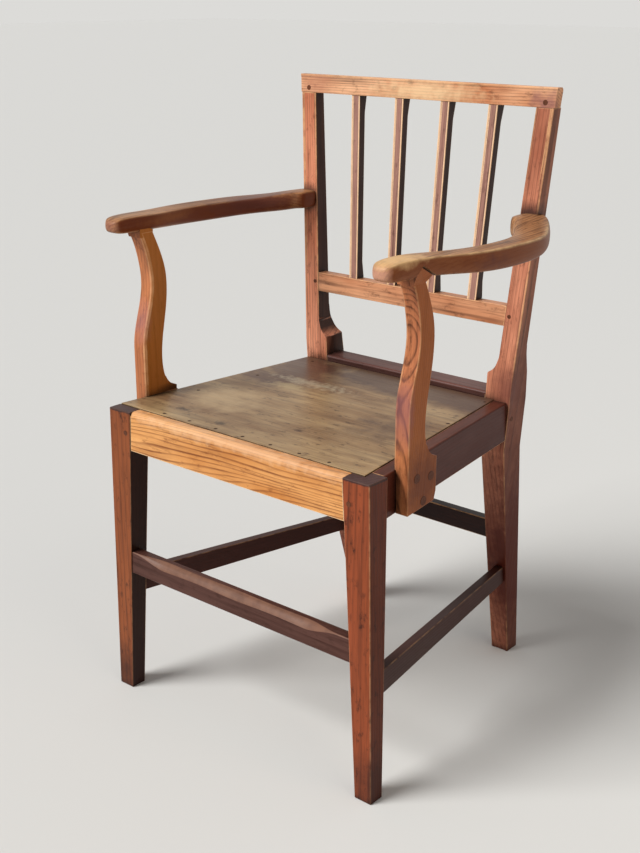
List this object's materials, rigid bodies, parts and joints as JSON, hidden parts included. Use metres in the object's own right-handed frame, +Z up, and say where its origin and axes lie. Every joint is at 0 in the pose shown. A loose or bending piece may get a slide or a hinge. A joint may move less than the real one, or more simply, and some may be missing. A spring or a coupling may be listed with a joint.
{
  "type": "elbow dining chair",
  "caption": "Wooden elbow chair with a square pegged frame, a board seat, upright back slats, swept arms on S-shaped supports and straight stretchers.",
  "frame": {"origin": "on the floor, at the centre of the chair's outer box seen from above", "axes": "+Z up, -Y the way the sitter faces, +X towards the sitter's left hand"},
  "size_m": [0.5529, 0.4843, 0.872],
  "materials": {
    "frame_wood": "waxed, dark reddish brown, worn paler on the arrises",
    "rail_wood": "waxed, golden brown with dark grain lines",
    "back_wood": "waxed, pinkish golden brown",
    "seat_wood": "worn and stained, grey brown",
    "peg_wood": "dark end grain",
    "nail_iron": "dark, rusted"
  },
  "bodies": {
    "root": {"arm_left": "frame_wood", "arm_right": "frame_wood", "arm_support_left": "frame_wood", "arm_support_plugs_left": "peg_wood", "arm_support_plugs_right": "peg_wood", "arm_support_right": "frame_wood", "back_post_left": "frame_wood", "back_post_right": "frame_wood", "back_slat_1": "back_wood", "back_slat_2": "back_wood", "back_slat_3": "back_wood", "back_slat_4": "back_wood", "crest_pegs": "peg_wood", "crest_rail": "back_wood", "front_leg_left": "frame_wood", "front_leg_right": "frame_wood", "front_rail_pegs": "peg_wood", "front_seat_rail": "rail_wood", "front_stretcher": "rail_wood", "lower_back_rail": "back_wood", "lower_rail_pegs": "peg_wood", "rear_seat_rail": "frame_wood", "rear_stretcher": "frame_wood", "seat_board": "seat_wood", "seat_nails": "nail_iron", "side_rail_peg_left": "peg_wood", "side_rail_peg_right": "peg_wood", "side_seat_rail_left": "frame_wood", "side_seat_rail_right": "frame_wood", "side_stretcher_left": "frame_wood", "side_stretcher_right": "frame_wood"}
  },
  "joints": []
}
